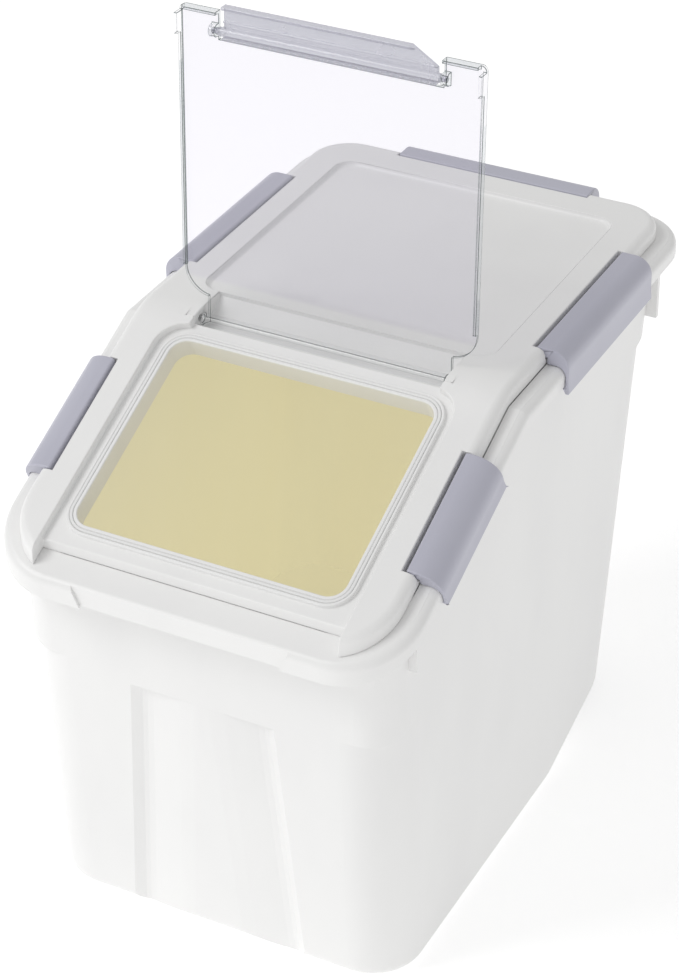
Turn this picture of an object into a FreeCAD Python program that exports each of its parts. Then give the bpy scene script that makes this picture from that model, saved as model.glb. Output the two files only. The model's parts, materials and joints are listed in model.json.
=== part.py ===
"""Pet food bin: a tapered bin with a latched lid, a clear scoop flap and two rear wheels.

Frame: millimetres, +Z up, the front faces -Y, the origin is on the floor under the middle of the bin.
"""
import FreeCAD, Part
import math
import os

import Sketcher

from FreeCAD import Placement, Rotation, Vector

SIZES = {
    # bin walls
    "floor_half_width": 102.6,
    "floor_front": -153.8,
    "floor_rear": 114.0,
    "side_draft": 0.4,
    "front_draft": 3.15,
    "rear_draft": 9.4,
    "wall": 2.5,
    "floor_thickness": 3.0,
    "wall_corner": 28.0,
    "collar_corner": 20.0,
    "foot_round": 6.0,
    # top line: flat at the rear, sloping down to the front
    "top_height": 288.0,
    "slope_start": -36.8,
    "slope_angle": 24.0,
    # rim of the bin
    "rim_half_width": 112.5,
    "rim_front": -181.0,
    "rim_rear": 182.0,
    "rim_corner": 37.0,
    "rim_rear_corner": 31.0,
    "rim_round": 5.0,
    "ledge_drop": 9.2,
    "rim_drop": 19.0,
    "shelf_drop": 12.2,
    # mouth of the bin, inside the rim
    "mouth_half_width": 95.6,
    "mouth_front": -159.0,
    "mouth_rear": 140.9,
    "mouth_corner": 25.0,
    "shelf_width": 6.8,
    # lid
    "lid_half_width": 102.2,
    "lid_front": -178.0,
    "lid_rear": 172.2,
    "lid_corner": 32.0,
    "lid_rear_corner": 24.0,
    "lid_round": 5.0,
    "lid_drop": 9.0,
    "bend_radius": 45.0,
    "plug_gap": 0.6,
    "plug_drop": 17.0,
    "panel_half_width": 81.7,
    "panel_front": -12.0,
    "panel_rear": 148.0,
    "panel_depth": 2.6,
    "pocket_half_width": 82.5,
    "pocket_depth": 4.2,
    "pocket_start": 6.8,
    "pocket_corner": 16.0,
    "notch_front": -166.0,
    # scoop opening, measured down the slope from the bend
    "opening_half_width": 72.9,
    "opening_start": 15.5,
    "opening_end": 130.9,
    "opening_corner": 9.0,
    "collar_width": 5.4,
    "collar_drop": 2.2,
    # flap, measured in its closed place on the slope
    "flap_half_width": 81.0,
    "flap_end": 163.0,
    "flap_thickness": 2.0,
    "flap_drop": 0.05,
    "hinge_start": -2.15,
    "hinge_drop": 7.0,
    "hinge_half_width": 68.0,
    "hinge_radius": 3.4,
    "flap_open_angle": 116.2,
    # flap latch
    "catch_start": 153.3,
    "catch_drop": 3.4,
    "catch_half_width": 56.5,
    "catch_pocket": 59.5,
    # lid latches
    "slot_half_width": 95.0,
    "slot_rear": 165.0,
    "slot_depth": 6.4,
    "pivot_inset": 4.3,
    "pivot_drop": 3.0,
    "pin_radius": 1.5,
    "pin_length": 3.0,
    "running_gap": 0.05,
    "end_gap": 0.4,
    "rear_side_latch_from": 9.0,
    "rear_side_latch_to": 118.0,
    "slope_latch_from": 37.5,
    "slope_latch_to": 108.1,
    "back_latch_half_width": 57.0,
    # wheels
    "axle_back": 108.0,
    "axle_radius": 3.0,
    "axle_half_length": 88.0,
    "wheel_radius": 14.0,
    "wheel_width": 13.0,
    "wheel_centre": 73.0,
}

document = FreeCAD.newDocument("pet_food_bin")
sheet = document.addObject("Spreadsheet::Sheet", "sizes")


def fill_sheet():
    for row, (alias, value) in enumerate(SIZES.items(), start=1):
        sheet.set(f"A{row}", alias)
        sheet.set(f"B{row}", str(value))
        sheet.setAlias(f"B{row}", alias)
    document.recompute()


def cell(alias):
    return f"sizes.{alias}"


def size(alias):
    return float(sheet.get(alias))


def number(expression):
    """The value of a sheet expression."""
    value = sheet.evalExpression(str(expression))
    return float(getattr(value, "Value", value))


# ---------------------------------------------------------------- lines that follow the lid's top

RISE = f"tan({cell('slope_angle')})"
HALF_RISE = f"tan({cell('slope_angle')} / 2)"
COSINE = f"cos({cell('slope_angle')})"
FAR = 260


def bend_at(drop):
    """Where a line this far under the top surface bends, and its height behind the bend."""
    return f"{cell('slope_start')} + ({drop}) * {HALF_RISE}", f"{cell('top_height')} - ({drop})"


def slope_height(back, drop):
    """Height of a line this far under the slope, at a place in front of the bend."""
    return (f"{cell('top_height')} - ({cell('slope_start')} - ({back})) * {RISE}"
            f" - ({drop}) / {COSINE}")


def top_line(drop):
    """Three points from rear to front, this far under the lid's top surface."""
    _, rear_height = bend_at(drop)
    return [(f"{FAR}", rear_height), bend_at(drop), (f"-{FAR}", slope_height(f"-{FAR}", drop))]


SLOPE = Placement(Vector(0, SIZES["slope_start"], SIZES["top_height"]),
                  Rotation(Vector(1, 0, 0), SIZES["slope_angle"]))
HINGE_POINT = SLOPE.multVec(Vector(0, -SIZES["hinge_start"], -SIZES["hinge_drop"]))


def flap_opening():
    """The turn about the hinge that takes the flap from closed to open."""
    turn = Rotation(Vector(1, 0, 0), -SIZES["flap_open_angle"])
    return Placement(Vector(), turn, HINGE_POINT)


# ---------------------------------------------------------------- small helpers

PLANES = {"top": "XY_Plane", "front": "XZ_Plane", "side": "YZ_Plane"}


def draw_outline(sketch, points):
    """A closed outline whose corners are held by the sheet's sizes."""
    corners = [Vector(number(x), number(y), 0) for x, y in points]
    count = len(corners)
    for index in range(count):
        sketch.addGeometry(Part.LineSegment(corners[index], corners[(index + 1) % count]), False)
    for index in range(count):
        following = (index + 1) % count
        sketch.addConstraint(Sketcher.Constraint("Coincident", index, 2, following, 1))
    for index, (x, y) in enumerate(points):
        across = sketch.addConstraint(
            Sketcher.Constraint("DistanceX", -1, 1, index, 1, corners[index].x))
        sketch.setExpression(f"Constraints[{across}]", str(x))
        along = sketch.addConstraint(
            Sketcher.Constraint("DistanceY", -1, 1, index, 1, corners[index].y))
        sketch.setExpression(f"Constraints[{along}]", str(y))


def draw_circle(sketch, x, y, radius):
    circle = Part.Circle(Vector(number(x), number(y), 0), Vector(0, 0, 1), number(radius))
    sketch.addGeometry(circle, False)
    for kind, target in (("DistanceX", x), ("DistanceY", y)):
        index = sketch.addConstraint(Sketcher.Constraint(kind, -1, 1, 0, 3, number(target)))
        sketch.setExpression(f"Constraints[{index}]", str(target))
    index = sketch.addConstraint(Sketcher.Constraint("Radius", 0, number(radius)))
    sketch.setExpression(f"Constraints[{index}]", str(radius))


def new_body(label):
    body = document.addObject("PartDesign::Body", label)
    body.Label = label
    return body


def body_sketch(body, plane, name):
    role = PLANES[plane]
    sketch = body.newObject("Sketcher::SketchObject", name)
    face = next(item for item in body.Origin.OriginFeatures if item.Role == role)
    sketch.AttachmentSupport = [(face, "")]
    sketch.MapMode = "FlatFace"
    return sketch


def pad(body, plane, name, points, length, middle=True):
    sketch = body_sketch(body, plane, f"{name}_sketch")
    draw_outline(sketch, points)
    feature = body.newObject("PartDesign::Pad", name)
    feature.Profile = sketch
    feature.setExpression("Length", str(length))
    feature.Midplane = middle
    document.recompute()
    return feature


def pad_circle(body, plane, name, centre, radius, length):
    sketch = body_sketch(body, plane, f"{name}_sketch")
    draw_circle(sketch, centre[0], centre[1], radius)
    feature = body.newObject("PartDesign::Pad", name)
    feature.Profile = sketch
    feature.setExpression("Length", str(length))
    feature.Midplane = True
    document.recompute()
    return feature


def pocket(body, plane, name, points, length):
    """A symmetric cut that must take material away."""
    before = body.Tip.Shape.Volume
    sketch = body_sketch(body, plane, f"{name}_sketch")
    draw_outline(sketch, points)
    feature = body.newObject("PartDesign::Pocket", name)
    feature.Profile = sketch
    feature.setExpression("Length", str(length))
    feature.Midplane = True
    document.recompute()
    assert feature.Shape.Volume < before, f"{name} cuts nothing"
    return feature


def edge_names(shape, wanted):
    return [f"Edge{i}" for i, edge in enumerate(shape.Edges, start=1) if wanted(edge)]


def round_body(body, name, radius, wanted):
    """Round the edges of a body that the test picks."""
    base = body.Tip
    names = edge_names(base.Shape, wanted)
    assert names, f"{name} finds no edge"
    feature = body.newObject("PartDesign::Fillet", name)
    feature.Base = (base, names)
    feature.setExpression("Radius", str(radius))
    document.recompute()
    return feature


def round_edges(name, base, radius, wanted):
    """Round the edges of a Part object that the test picks."""
    document.recompute()
    picked = [i for i, edge in enumerate(base.Shape.Edges, start=1) if wanted(edge)]
    assert picked, f"{name} finds no edge"
    feature = document.addObject("Part::Fillet", name)
    feature.Base = base
    feature.Edges = [(index, number(radius), number(radius)) for index in picked]
    document.recompute()
    return feature


def along_z(edge):
    if len(edge.Vertexes) < 2 or not isinstance(edge.Curve, Part.Line):
        return False
    return abs(edge.tangentAt(edge.FirstParameter).z) > 0.9


def runs_along(axis):
    """A test for straight edges along one axis of the frame."""
    def test(edge):
        if len(edge.Vertexes) < 2 or not isinstance(edge.Curve, Part.Line):
            return False
        return abs(getattr(edge.tangentAt(edge.FirstParameter), axis)) > 0.999
    return test


def middle(edge):
    first, last = edge.FirstParameter, edge.LastParameter
    return edge.valueAt((first + last) / 2)


def close(value, target, reach=0.6):
    return abs(value - target) < reach


def block(name, half_width, front, rear, low, high, corner=None, rear_corner=None):
    """An upright box, with round corners where a radius is given."""
    box = document.addObject("Part::Box", name)
    box.setExpression("Length", f"2 * ({half_width})")
    box.setExpression("Width", f"({rear}) - ({front})")
    box.setExpression("Height", f"({high}) - ({low})")
    box.setExpression("Placement.Base.x", f"-({half_width})")
    box.setExpression("Placement.Base.y", str(front))
    box.setExpression("Placement.Base.z", str(low))
    if corner is None:
        return box
    if rear_corner is None:
        return round_edges(f"{name}_rounded", box, corner, along_z)
    rounded = round_edges(f"{name}_front_rounded", box, corner, front_upright)
    return round_edges(f"{name}_rounded", rounded, rear_corner, rear_upright)


def front_upright(edge):
    return along_z(edge) and middle(edge).y < 0


def rear_upright(edge):
    return along_z(edge) and middle(edge).y > 50


def side_slab(name, points, half_width=FAR):
    """A side-view outline made as wide as the bin."""
    sketch = document.addObject("Sketcher::SketchObject", f"{name}_sketch")
    sketch.Placement = Placement(Vector(), Rotation(Vector(1, 1, 1), 120))
    draw_outline(sketch, points)
    slab = document.addObject("Part::Extrusion", name)
    slab.Base = sketch
    slab.DirMode = "Normal"
    slab.Solid = True
    slab.Symmetric = True
    slab.setExpression("LengthFwd", f"2 * ({half_width})")
    document.recompute()
    return slab


def between(name, upper, lower):
    """The space between two lines under the lid's top."""
    return side_slab(name, top_line(upper) + list(reversed(top_line(lower))))


def above(name, drop):
    return side_slab(name, top_line(drop) + [(f"-{FAR}", "400"), (f"{FAR}", "400")])


def below(name, drop):
    return side_slab(name, top_line(drop) + [(f"-{FAR}", "-50"), (f"{FAR}", "-50")])


def cut(name, base, tool):
    feature = document.addObject("Part::Cut", name)
    feature.Base = base
    feature.Tool = tool
    document.recompute()
    assert feature.Shape.Volume < base.Shape.Volume, f"{name} cuts nothing"
    return feature


def common(name, *shapes):
    feature = document.addObject("Part::MultiCommon", name)
    feature.Shapes = list(shapes)
    document.recompute()
    assert feature.Shape.Volume > 0, f"{name} is empty"
    return feature


def fuse(name, *shapes):
    feature = document.addObject("Part::MultiFuse", name)
    feature.Shapes = list(shapes)
    document.recompute()
    return feature


def tidy(name, base):
    """One solid with the seams between flush faces removed."""
    feature = document.addObject("Part::Refine", name)
    feature.Source = base
    document.recompute()
    return feature


# ---------------------------------------------------------------- bin body

SIDE_LEAN = f"tan({cell('side_draft')})"
FRONT_LEAN = f"tan({cell('front_draft')})"
REAR_LEAN = f"tan({cell('rear_draft')})"
CORE_TOP = 300


def tapered_core(name, inset, low, corner):
    """The bin's drafted wall as a solid, drawn in by an inset."""
    wedge = document.addObject("Part::Wedge", name)
    wedge.Placement = Placement(Vector(), Rotation(Vector(1, 0, 0), 90))
    half = f"{cell('floor_half_width')} - ({inset})"
    front = f"-({cell('floor_front')}) - ({inset})"
    rear = f"-({cell('floor_rear')}) + ({inset})"
    wedge.setExpression("Ymin", str(low))
    wedge.setExpression("Ymax", str(CORE_TOP))
    for height, mark in ((f"({low})", ""), (str(CORE_TOP), "2")):
        wedge.setExpression(f"X{mark}min", f"-({half}) - {height} * {SIDE_LEAN}")
        wedge.setExpression(f"X{mark}max", f"{half} + {height} * {SIDE_LEAN}")
        wedge.setExpression(f"Z{mark}min", f"{rear} - {height} * {REAR_LEAN}")
        wedge.setExpression(f"Z{mark}max", f"{front} + {height} * {FRONT_LEAN}")
    return round_edges(f"{name}_rounded", wedge, corner, along_z)


def flat_bottom(low):
    return lambda edge: close(edge.BoundBox.ZMax, low, 0.01) and close(edge.BoundBox.ZMin, low, 0.01)


REAR_RISE = [("17.5", "-1"), ("17.5", "0"), ("100", "27.5"), ("200", "27.5"), ("200", "-1")]
STEP_FRONT = 158.5
STEP_REAR = 230.5


def bin_walls():
    """The outer wall: its corners are fuller above a step under the rim."""
    lower = tapered_core("wall_core", "0", "0", cell("wall_corner"))
    lower = round_edges("wall_foot", lower, cell("foot_round"), flat_bottom(0))
    upper = tapered_core("shoulder_core", "0", "0", cell("collar_corner"))
    step = side_slab("shoulder_part", [("-260", str(STEP_FRONT - 25)), ("-150", str(STEP_FRONT)),
                                       ("143", str(STEP_REAR)), ("260", str(STEP_REAR + 29)),
                                       ("260", "400"), ("-260", "400")])
    shoulder = common("shoulder", upper, step)
    return [lower, shoulder]


def rim():
    """The broad rim: a flat ledge with a hanging skirt, open from below."""
    plan = block("rim_plan", cell("rim_half_width"), cell("rim_front"), cell("rim_rear"),
                 "150", "300", cell("rim_corner"), cell("rim_rear_corner"))
    strip = between("rim_strip", cell("ledge_drop"), cell("rim_drop"))
    band = common("rim_band", plan, strip)

    def upper_outer(edge):
        spot = middle(edge)
        ledge = size("top_height") - size("ledge_drop")
        if spot.y < size("slope_start") + 2:
            ledge = number(slope_height(str(spot.y), cell("ledge_drop")))
        return close(spot.z, ledge, 0.4) and not runs_along("x")(edge) or (
            close(spot.z, ledge, 0.4) and (spot.y > 175 or spot.y < -176))

    band = round_edges("rim_soft", band, cell("rim_round"), upper_outer)
    inner = block("rim_channel_plan", f"{cell('rim_half_width')} - {cell('wall')}",
                  f"{cell('rim_front')} + {cell('wall')}", f"{cell('rim_rear')} - {cell('wall')}",
                  "150", "300", f"{cell('rim_corner')} - {cell('wall')}",
                  f"{cell('rim_rear_corner')} - {cell('wall')}")
    under = below("rim_channel_low", f"{cell('ledge_drop')} + 3")
    channel = common("rim_channel", inner, under)
    band = cut("rim_hollow", band, channel)
    inset = f"{cell('rim_round')} + 1"
    plate = common("rim_plate", block("rim_plate_plan", f"{cell('rim_half_width')} - {inset}",
                                      f"{cell('rim_front')} + {inset}",
                                      f"{cell('rim_rear')} - {inset}",
                                      "150", "300", f"{cell('rim_corner')} - {inset}",
                                      f"{cell('rim_rear_corner')} - {inset}"),
                   between("rim_plate_strip", cell("ledge_drop"), f"{cell('shelf_drop')} + 2.6"))
    return [band, plate]


RIB_THICKNESS = 3
RIB_HALF_WIDTH = 108.3
RIBS = {"front": (-146, 196.5, 222.5), "rear": (143.5, 237.5, 270.5)}


def rim_ribs():
    """Upright ribs under the rim, one at each end of each side."""
    ribs = []
    for where, (back, low, high) in RIBS.items():
        rib = block(f"{where}_rib", str(RIB_HALF_WIDTH), str(back), str(back + RIB_THICKNESS),
                    str(low), str(high))
        ribs.append(rib)
    return ribs


GROOVE_TOP = 150
GROOVE_FOOT_HALF = 50.3
GROOVE_SPREAD = 0.069
GROOVE_SECTION = [(0, 0), (5, 3.0), (7.5, 3.4), (11, 3.2), (18, 2.0), (28, 0.6), (36, 0)]


def level_sketch(name, points, height):
    """An outline drawn on a level plane."""
    sketch = document.addObject("Sketcher::SketchObject", name)
    sketch.Placement = Placement(Vector(0, 0, height), Rotation())
    draw_outline(sketch, points)
    return sketch


def groove(name, side, grow):
    """One upright groove in the front wall, made larger for the inside of the wall."""
    sections = []
    for height in (-12, GROOVE_TOP + grow):
        outer = GROOVE_FOOT_HALF - GROOVE_SPREAD * height
        face = f"{cell('floor_front')} - ({height}) * {FRONT_LEAN}"
        widths = [-grow] + [inward for inward, _ in GROOVE_SECTION[1:-1]] + [GROOVE_SECTION[-1][0] + grow]
        depths = [depth + grow for _, depth in GROOVE_SECTION]
        points = [(side * (outer - across), f"{face} + {depth}")
                  for across, depth in zip(widths, depths)]
        points += [(side * (outer - widths[-1]), f"{face} - 8"), (side * (outer - widths[0]), f"{face} - 8")]
        sections.append(level_sketch(f"{name}_{len(sections)}", points, height))
    loft = document.addObject("Part::Loft", name)
    loft.Sections = sections
    loft.Solid = True
    loft.Ruled = True
    document.recompute()
    return loft


def grooves(name, grow):
    return fuse(name, groove(f"{name}_right", 1, grow), groove(f"{name}_left", -1, grow))


WELL_FRONT = 68
WELL_REAR = 128
WELL_TOP = 31
WELL_HALF = 91
COVER = 3
COVER_LOW = 17.5


def bin_body():
    """One moulding: walls, rim, ribs, axle holders."""
    outer = fuse("bin_outer", *bin_walls(), *rim(), *rim_ribs())
    outer = cut("bin_topped", outer, above("bin_top_cut", cell("ledge_drop")))
    inner = tapered_core("cavity_core", cell("wall"), cell("floor_thickness"),
                         f"{cell('wall_corner')} - {cell('wall')}")
    inner = common("cavity_wall", inner, below("cavity_top", f"{cell('shelf_drop')} + 2.6"))
    inner = cut("cavity_grooved", inner, grooves("groove_backing", size("wall")))
    cover_top = str(WELL_TOP + COVER)
    well_cover = side_slab("well_cover", [("16", "-5"), ("17", cell("floor_thickness")),
                                          (str(WELL_FRONT - 8), str(COVER_LOW)),
                                          (str(WELL_FRONT - COVER), cover_top),
                                          ("200", cover_top), ("200", "-5")])
    inner = cut("cavity_over_wheels", inner, well_cover)
    mouth = block("mouth", cell("mouth_half_width"), cell("mouth_front"), cell("mouth_rear"),
                  "195", "320", cell("mouth_corner"))
    mouth = common("mouth_upper", mouth, above("mouth_low", f"{cell('shelf_drop')} + 6"))
    step_plan = block("shelf_plan", f"{cell('mouth_half_width')} + {cell('shelf_width')}",
                      f"{cell('mouth_front')} - {cell('shelf_width')}",
                      f"{cell('mouth_rear')} + {cell('shelf_width')}",
                      "150", "320", f"{cell('mouth_corner')} + {cell('shelf_width')}")
    step = common("shelf_step", step_plan, above("shelf_above", cell("shelf_drop")))
    hollow = fuse("bin_hollow", inner, mouth, step)
    shell = cut("bin_shell", outer, hollow)
    shell = cut("bin_grooved", shell, grooves("groove", 0))
    shell = cut("bin_raised_rear", shell, side_slab("rear_rise", REAR_RISE))
    well = block("wheel_well", str(WELL_HALF), str(WELL_FRONT), str(WELL_REAR), "-5", str(WELL_TOP), "6")
    shell = cut("bin_welled", shell, well)
    shell = cut("bin_catch", shell, catch_recess())
    shell = fuse("bin_held", shell, *axle_holders())
    bore = document.addObject("Part::Cylinder", "axle_bore")
    bore.setExpression("Radius", f"{cell('axle_radius')} + 0.02")
    bore.Height = 180
    bore.Placement = Placement(Vector(-90, size("axle_back"), size("wheel_radius")),
                               Rotation(Vector(0, 1, 0), 90))
    shell = cut("bin_bored", shell, bore)
    return tidy("bin_body", shell)


CATCH_TOP_HALF = 60
CATCH_FOOT_HALF = 53
CATCH_TOP = 216
CATCH_FOOT = 200.5
CATCH_DEPTH = 1.6


def catch_recess():
    """The tapered recess in the front skirt where the flap's latch comes down."""
    body = new_body("catch_recess")
    pad(body, "front", "catch_block", [
        (f"-{CATCH_FOOT_HALF}", str(CATCH_FOOT)), (f"{CATCH_FOOT_HALF}", str(CATCH_FOOT)),
        (f"{CATCH_TOP_HALF}", str(CATCH_TOP)), (f"-{CATCH_TOP_HALF}", str(CATCH_TOP))],
        f"2 * {CATCH_DEPTH}")
    body.Placement = Placement(Vector(0, size("rim_front"), 0), Rotation())
    document.recompute()
    return body


HOLDER_PLACES = [60.5, 82.5]
HOLDER_THICKNESS = 3


def axle_holders():
    """Four plates that hang from the wheel well's roof and hold the axle."""
    plates = []
    for side in (-1, 1):
        for place in HOLDER_PLACES:
            body = new_body(f"axle_holder_{'right' if side > 0 else 'left'}_{place:.0f}")
            back = cell("axle_back")
            axle = cell("wheel_radius")
            pad(body, "side", "plate", [
                (f"{back} - 16", f"{WELL_TOP} + 1"), (f"{back} - 7", f"{axle} - 2"),
                (f"{back} - 4", f"{axle} - 7"), (f"{back} + 4", f"{axle} - 7"),
                (f"{back} + 7", f"{axle} - 2"), (f"{back} + 16", f"{WELL_TOP} + 1")],
                str(HOLDER_THICKNESS))
            body.Placement = Placement(Vector(side * place, 0, 0), Rotation())
            plates.append(body)
    document.recompute()
    return plates


# ---------------------------------------------------------------- lid

def local_block(name, half_width, start, end, low, high, corner=None):
    """A box in the slope's frame: start and end are measured down the slope."""
    box = document.addObject("Part::Box", name)
    box.setExpression("Length", f"2 * ({half_width})")
    box.setExpression("Width", f"({end}) - ({start})")
    box.setExpression("Height", f"({high}) - ({low})")
    document.recompute()
    base = Vector(-number(half_width), -number(end), number(low))
    box.Placement = SLOPE.multiply(Placement(base, Rotation()))
    if corner is None:
        return box
    return round_edges(f"{name}_rounded", box, corner, across_slope)


def across_slope(edge):
    if len(edge.Vertexes) < 2 or not isinstance(edge.Curve, Part.Line):
        return False
    normal = SLOPE.Rotation.multVec(Vector(0, 0, 1))
    return abs(edge.tangentAt(edge.FirstParameter).dot(normal)) > 0.999


def slope_pocket():
    """The sunk field round the scoop opening; its upper corners follow the flap's."""
    half = f"{cell('pocket_half_width')}"
    field = local_block("pocket_field", half, cell("pocket_start"), "175", f"-{cell('pocket_depth')}", "20",
                        cell("pocket_corner"))
    neck = local_block("pocket_neck", f"{cell('hinge_half_width')} + 1.4", "-6", "40",
                       f"-{cell('pocket_depth')}", "20")
    return [field, neck]


TOP = cell("top_height")
TROUGH = [("-38.5", f"{TOP} + 12"), ("-38.5", f"{TOP} - 9"), ("-36.5", f"{TOP} - 11.7"),
          ("-24.5", f"{TOP} - 11.7"), ("-12", f"{TOP} - 2.6"), ("-12", f"{TOP} + 12")]


def latch_slot(name, length, placement):
    """The notch in the lid's edge that a latch turns in, with its two pin holes."""
    body = new_body(name)
    pad(body, "front", "notch", [("0", f"-{cell('slot_depth')}"), ("15", f"-{cell('slot_depth')}"),
                                 ("15", "12"), ("0", "12")], length)
    pad_circle(body, "front", "pin_holes", (cell("pivot_inset"), f"-{cell('pivot_drop')}"),
               f"{cell('pin_radius')} + {cell('running_gap')}",
               f"{length} + 2 * ({cell('pin_length')} + 0.2)")
    body.Placement = placement
    document.recompute()
    return body


def side_place(side, back):
    """Where a latch on the flat part goes: side is 1 on the right and -1 on the left."""
    turn = Rotation(Vector(0, 0, 1), 0 if side > 0 else 180)
    return Placement(Vector(side * size("slot_half_width"), back, size("top_height")), turn)


def slope_place(side, start):
    turn = Rotation(Vector(0, 0, 1), 0 if side > 0 else 180)
    local = Placement(Vector(side * size("slot_half_width"), -start, 0), turn)
    return SLOPE.multiply(local)


def back_place():
    return Placement(Vector(0, size("slot_rear"), size("top_height")),
                     Rotation(Vector(0, 0, 1), 90))


REAR_SIDE_LENGTH = f"({cell('rear_side_latch_to')} - {cell('rear_side_latch_from')})"
SLOPE_LENGTH = f"({cell('slope_latch_to')} - {cell('slope_latch_from')})"
BACK_LENGTH = f"(2 * {cell('back_latch_half_width')})"


def latch_places():
    rear_middle = (size("rear_side_latch_from") + size("rear_side_latch_to")) / 2
    slope_middle = (size("slope_latch_from") + size("slope_latch_to")) / 2
    return {
        "latch_right_rear": (REAR_SIDE_LENGTH, side_place(1, rear_middle)),
        "latch_left_rear": (REAR_SIDE_LENGTH, side_place(-1, rear_middle)),
        "latch_right_front": (SLOPE_LENGTH, slope_place(1, slope_middle)),
        "latch_left_front": (SLOPE_LENGTH, slope_place(-1, slope_middle)),
        "latch_rear": (BACK_LENGTH, back_place()),
    }


def lid_edge_tests():
    top = size("top_height")
    tilt = math.tan(math.radians(size("slope_angle")))

    def on_top(spot):
        height = top if spot.y > size("slope_start") else top - (size("slope_start") - spot.y) * tilt
        return close(spot.z, height, 0.3)

    def outer_top(edge):
        spot = middle(edge)
        if not on_top(spot):
            return False
        straight = runs_along("x")(edge)
        return not straight or spot.y > size("lid_rear") - 2 or spot.y < size("lid_front") + 2

    def bend(edge):
        spot = middle(edge)
        return runs_along("x")(edge) and close(spot.y, size("slope_start")) and on_top(spot)

    return outer_top, bend


def collar():
    """The raised double lip round the scoop opening, with a groove for its seal."""
    width = cell("collar_width")
    outer = local_block("collar_outer", f"{cell('opening_half_width')} + {width}",
                        f"{cell('opening_start')} - {width}", f"{cell('opening_end')} + {width}",
                        f"-{cell('pocket_depth')} - 2", f"-{cell('collar_drop')}",
                        f"{cell('opening_corner')} + {width}")
    groove = ring("collar_groove", "2", "3.8", f"-{cell('pocket_depth')}", "1")
    return cut("collar", outer, groove)


def ring(name, inner, outer, low, high):
    """A ring round the scoop opening, between two distances from its edge."""
    parts = []
    for tag, grow, extra in (("out", outer, "0"), ("in", inner, "5")):
        parts.append(local_block(f"{name}_{tag}", f"{cell('opening_half_width')} + {grow}",
                                 f"{cell('opening_start')} - {grow}",
                                 f"{cell('opening_end')} + {grow}",
                                 f"({low}) - {extra}", f"({high}) + {extra}",
                                 f"{cell('opening_corner')} + {grow}"))
    return cut(name, parts[0], parts[1])


def lid():
    """One moulding: top, sunk panel, sloped pocket, collar, plug ring and latch notches."""
    plan = block("lid_plan", cell("lid_half_width"), cell("lid_front"), cell("lid_rear"),
                 "150", "320", cell("lid_corner"), cell("lid_rear_corner"))
    solid = common("lid_solid", plan, between("lid_strip", "0", cell("lid_drop")))
    outer_top, bend = lid_edge_tests()
    solid = round_edges("lid_bend", solid, cell("bend_radius"), bend)
    solid = round_edges("lid_soft", solid, cell("lid_round"), outer_top)
    gap = cell("plug_gap")
    plug_plan = block("plug_plan", f"{cell('mouth_half_width')} - {gap}",
                      f"{cell('mouth_front')} + {gap}", f"{cell('mouth_rear')} - {gap}",
                      "150", "320", f"{cell('mouth_corner')} - {gap}")
    plug = common("plug", plug_plan, between("plug_strip", "8", cell("plug_drop")))
    panel = block("top_panel", cell("panel_half_width"), cell("panel_front"), cell("panel_rear"),
                  f"{cell('top_height')} - {cell('panel_depth')}", "320", "10")
    panel = round_edges("top_panel_soft", panel, "2.4",
                        flat_bottom(size("top_height") - size("panel_depth")))
    hollow_plan = block("lid_hollow_plan", f"{cell('mouth_half_width')} - {gap} - 2.2",
                        f"{cell('mouth_front')} + {gap} + 2.2",
                        f"{cell('mouth_rear')} - {gap} - 2.2",
                        "150", "320", f"{cell('mouth_corner')} - {gap} - 2.2")
    under = common("lid_hollow", hollow_plan, below("lid_hollow_low", f"{cell('pocket_depth')} + 2.4"))
    keep = side_slab("trough_backing", [("-42", f"{TOP} + 12"), ("-42", f"{TOP} - 14"),
                                        ("-23.5", f"{TOP} - 14"), ("-9", f"{TOP} - 5.2"),
                                        ("-9", f"{TOP} + 12")], "74")
    under = cut("lid_hollow_kept", under, keep)
    rear_under = common("rear_hollow",
                        block("rear_hollow_plan", "90", "149.5", "161.5", "150", "320", "4"),
                        below("rear_hollow_low", "3"))
    shape = fuse("lid_blank", solid, plug)
    pocket_space = fuse("pocket_space", *slope_pocket())
    tools = fuse("lid_tools", panel, pocket_space, side_slab("hinge_trough", TROUGH, "69.4"))
    shape = cut("lid_sunk", shape, tools)
    chute = local_block("chute", f"{cell('opening_half_width')} + 2.2",
                        f"{cell('opening_start')} - 2.2", f"{cell('opening_end')} + 2.2",
                        "-14", f"-{cell('pocket_depth')}", f"{cell('opening_corner')} + 2.2")
    shape = cut("lid_hollowed", shape, fuse("lid_unders", under, rear_under))
    shape = fuse("lid_collared", shape, collar(), chute, *hinge_ears(),
                 keep_trough(keep, pocket_space))
    opening = local_block("scoop_opening", cell("opening_half_width"), cell("opening_start"),
                          cell("opening_end"), "-40", "30", cell("opening_corner"))
    shape = cut("lid_opened", shape, opening)
    front_notch = block("front_notch", cell("pocket_half_width"), "-200", cell("notch_front"),
                        "150", "320")
    shape = cut("lid_notched", shape, front_notch)
    slots = [latch_slot(f"{name}_slot", length, place)
             for name, (length, place) in latch_places().items()]
    shape = cut("lid_slotted", shape, fuse("latch_slots", *slots))
    shape = cut("lid_hinged", shape, hinge_sockets())
    return tidy("lid", shape)


def keep_trough(backing, pocket_space):
    """The floor under the hinge trough, thick enough to hold it."""
    return cut("trough_floor", common("trough_inside", backing, below("trough_lid", "0.5")),
               fuse("trough_space", pocket_space, side_slab("trough_room", TROUGH, "100"),
                    side_slab("panel_room", [("-12.2", f"{TOP} - 2.6"), ("20", f"{TOP} - 2.6"),
                                             ("20", f"{TOP} + 30"), ("-12.2", f"{TOP} + 30")],
                              "100")))


SOCKET_DEPTH = 2.5


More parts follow.
